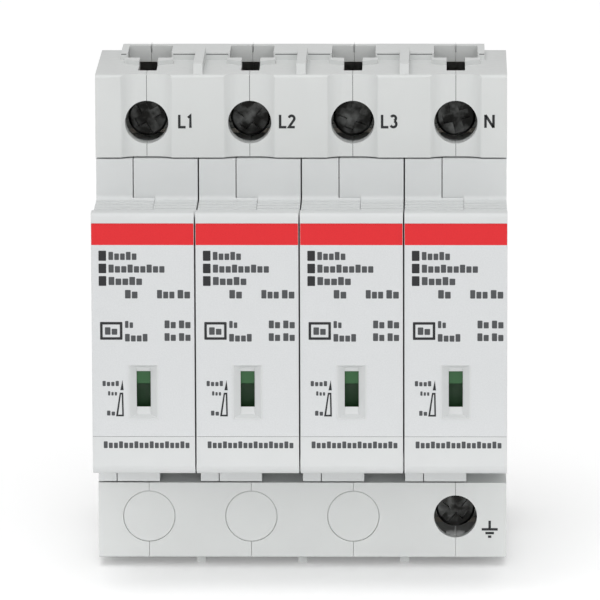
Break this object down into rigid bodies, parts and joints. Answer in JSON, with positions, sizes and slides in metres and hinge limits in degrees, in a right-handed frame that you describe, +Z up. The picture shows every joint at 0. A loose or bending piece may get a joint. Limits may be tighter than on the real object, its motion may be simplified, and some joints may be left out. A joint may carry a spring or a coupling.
{
  "type": "din-rail surge arrester",
  "caption": "Rail-mounted surge arrester: a riveted base with screw terminals and a row of plug-in cartridges, each with a status window, held by a hook and sprung clips.",
  "frame": {"origin": "on the front plane of the rail, on its centre line, at the middle of the row", "axes": "+X along the rail from the first pole to the last, +Y into the wall, +Z up"},
  "size_m": [0.071, 0.0688, 0.0888],
  "materials": {
    "base_plastic": "fine moulded texture",
    "cartridge_plastic": "fine moulded texture",
    "clip_plastic": "moulded",
    "flag_plastic": "moulded",
    "screw_steel": "blackened",
    "plated_steel": "zinc plated",
    "spring_steel": "drawn wire",
    "contact_copper": "tinned copper alloy",
    "varistor_coat": "epoxy dipped"
  },
  "bodies": {
    "base": {"base_end_left": "base_plastic", "base_frame_1": "base_plastic", "base_frame_2": "base_plastic", "base_frame_3": "base_plastic", "base_end_right": "base_plastic", "tie_rivets": "plated_steel", "blanking_plugs": "base_plastic", "line_contact_1": "contact_copper", "line_contact_2": "contact_copper", "line_contact_3": "contact_copper", "line_contact_4": "contact_copper", "earth_busbar": "contact_copper", "rail_clip_spring_left": "spring_steel", "rail_clip_spring_right": "spring_steel"},
    "screw_l1": {"terminal_screw_l1": "screw_steel"},
    "cage_l1": {"terminal_cage_l1": "plated_steel"},
    "screw_l2": {"terminal_screw_l2": "screw_steel"},
    "cage_l2": {"terminal_cage_l2": "plated_steel"},
    "screw_l3": {"terminal_screw_l3": "screw_steel"},
    "cage_l3": {"terminal_cage_l3": "plated_steel"},
    "screw_n": {"terminal_screw_n": "screw_steel"},
    "cage_n": {"terminal_cage_n": "plated_steel"},
    "screw_earth": {"terminal_screw_earth": "screw_steel"},
    "cage_earth": {"terminal_cage_earth": "plated_steel"},
    "clip_left": {"rail_clip_left": "clip_plastic"},
    "clip_right": {"rail_clip_right": "clip_plastic"},
    "cartridge_1": {"cartridge_body_1": "cartridge_plastic", "cartridge_cover_1": "cartridge_plastic", "varistor_1": "varistor_coat", "upper_blade_1": "contact_copper", "lower_blade_1": "contact_copper", "disconnector_1": "contact_copper", "flag_spring_1": "spring_steel"},
    "flag_1": {"status_flag_1": "flag_plastic"},
    "cartridge_2": {"cartridge_body_2": "cartridge_plastic", "cartridge_cover_2": "cartridge_plastic", "varistor_2": "varistor_coat", "upper_blade_2": "contact_copper", "lower_blade_2": "contact_copper", "disconnector_2": "contact_copper", "flag_spring_2": "spring_steel"},
    "flag_2": {"status_flag_2": "flag_plastic"},
    "cartridge_3": {"cartridge_body_3": "cartridge_plastic", "cartridge_cover_3": "cartridge_plastic", "varistor_3": "varistor_coat", "upper_blade_3": "contact_copper", "lower_blade_3": "contact_copper", "disconnector_3": "contact_copper", "flag_spring_3": "spring_steel"},
    "flag_3": {"status_flag_3": "flag_plastic"},
    "cartridge_4": {"cartridge_body_4": "cartridge_plastic", "cartridge_cover_4": "cartridge_plastic", "varistor_4": "varistor_coat", "upper_blade_4": "contact_copper", "lower_blade_4": "contact_copper", "disconnector_4": "contact_copper", "flag_spring_4": "spring_steel"},
    "flag_4": {"status_flag_4": "flag_plastic"}
  },
  "joints": [
    {"name": "screw_l1_turn", "type": "hinge", "parent": "base", "child": "screw_l1", "pos_m": [-0.0267, -0.0366, 0.03475], "axis": [0, 1, 0], "range_deg": [0, 1440]},
    {"name": "cage_l1_lift", "type": "slide", "parent": "base", "child": "cage_l1", "axis": [0, -1, 0], "range_m": [0, 0.0032]},
    {"name": "screw_l2_turn", "type": "hinge", "parent": "base", "child": "screw_l2", "pos_m": [-0.0089, -0.0366, 0.03475], "axis": [0, 1, 0], "range_deg": [0, 1440]},
    {"name": "cage_l2_lift", "type": "slide", "parent": "base", "child": "cage_l2", "axis": [0, -1, 0], "range_m": [0, 0.0032]},
    {"name": "screw_l3_turn", "type": "hinge", "parent": "base", "child": "screw_l3", "pos_m": [0.0089, -0.0366, 0.03475], "axis": [0, 1, 0], "range_deg": [0, 1440]},
    {"name": "cage_l3_lift", "type": "slide", "parent": "base", "child": "cage_l3", "axis": [0, -1, 0], "range_m": [0, 0.0032]},
    {"name": "screw_n_turn", "type": "hinge", "parent": "base", "child": "screw_n", "pos_m": [0.0267, -0.0366, 0.03475], "axis": [0, 1, 0], "range_deg": [0, 1440]},
    {"name": "cage_n_lift", "type": "slide", "parent": "base", "child": "cage_n", "axis": [0, -1, 0], "range_m": [0, 0.0032]},
    {"name": "screw_earth_turn", "type": "hinge", "parent": "base", "child": "screw_earth", "pos_m": [0.0267, -0.0366, -0.03475], "axis": [0, 1, 0], "range_deg": [0, 1440]},
    {"name": "cage_earth_lift", "type": "slide", "parent": "base", "child": "cage_earth", "axis": [0, -1, 0], "range_m": [0, 0.0032]},
    {"name": "clip_left_pull", "type": "slide", "parent": "base", "child": "clip_left", "axis": [0, 0, -1], "range_m": [0, 0.003], "stiffness_N_per_m": 600, "deforming": ["rail_clip_spring_left"]},
    {"name": "clip_right_pull", "type": "slide", "parent": "base", "child": "clip_right", "axis": [0, 0, -1], "range_m": [0, 0.003], "stiffness_N_per_m": 600, "deforming": ["rail_clip_spring_right"]},
    {"name": "cartridge_1_pull", "type": "slide", "parent": "base", "child": "cartridge_1", "axis": [0, -1, 0], "range_m": [0, 0.045]},
    {"name": "flag_1_rise", "type": "slide", "parent": "cartridge_1", "child": "flag_1", "axis": [0, 0, 1], "range_m": [0, 0.009], "deforming": ["flag_spring_1"]},
    {"name": "cartridge_2_pull", "type": "slide", "parent": "base", "child": "cartridge_2", "axis": [0, -1, 0], "range_m": [0, 0.045]},
    {"name": "flag_2_rise", "type": "slide", "parent": "cartridge_2", "child": "flag_2", "axis": [0, 0, 1], "range_m": [0, 0.009], "deforming": ["flag_spring_2"]},
    {"name": "cartridge_3_pull", "type": "slide", "parent": "base", "child": "cartridge_3", "axis": [0, -1, 0], "range_m": [0, 0.045]},
    {"name": "flag_3_rise", "type": "slide", "parent": "cartridge_3", "child": "flag_3", "axis": [0, 0, 1], "range_m": [0, 0.009], "deforming": ["flag_spring_3"]},
    {"name": "cartridge_4_pull", "type": "slide", "parent": "base", "child": "cartridge_4", "axis": [0, -1, 0], "range_m": [0, 0.045]},
    {"name": "flag_4_rise", "type": "slide", "parent": "cartridge_4", "child": "flag_4", "axis": [0, 0, 1], "range_m": [0, 0.009], "deforming": ["flag_spring_4"]}
  ],
  "couplings": [
    {"joint": "screw_l1_turn", "follows": "cage_l1_lift", "rad_per_m": 7854},
    {"joint": "screw_l2_turn", "follows": "cage_l2_lift", "rad_per_m": 7854},
    {"joint": "screw_l3_turn", "follows": "cage_l3_lift", "rad_per_m": 7854},
    {"joint": "screw_n_turn", "follows": "cage_n_lift", "rad_per_m": 7854},
    {"joint": "screw_earth_turn", "follows": "cage_earth_lift", "rad_per_m": 7854}
  ]
}
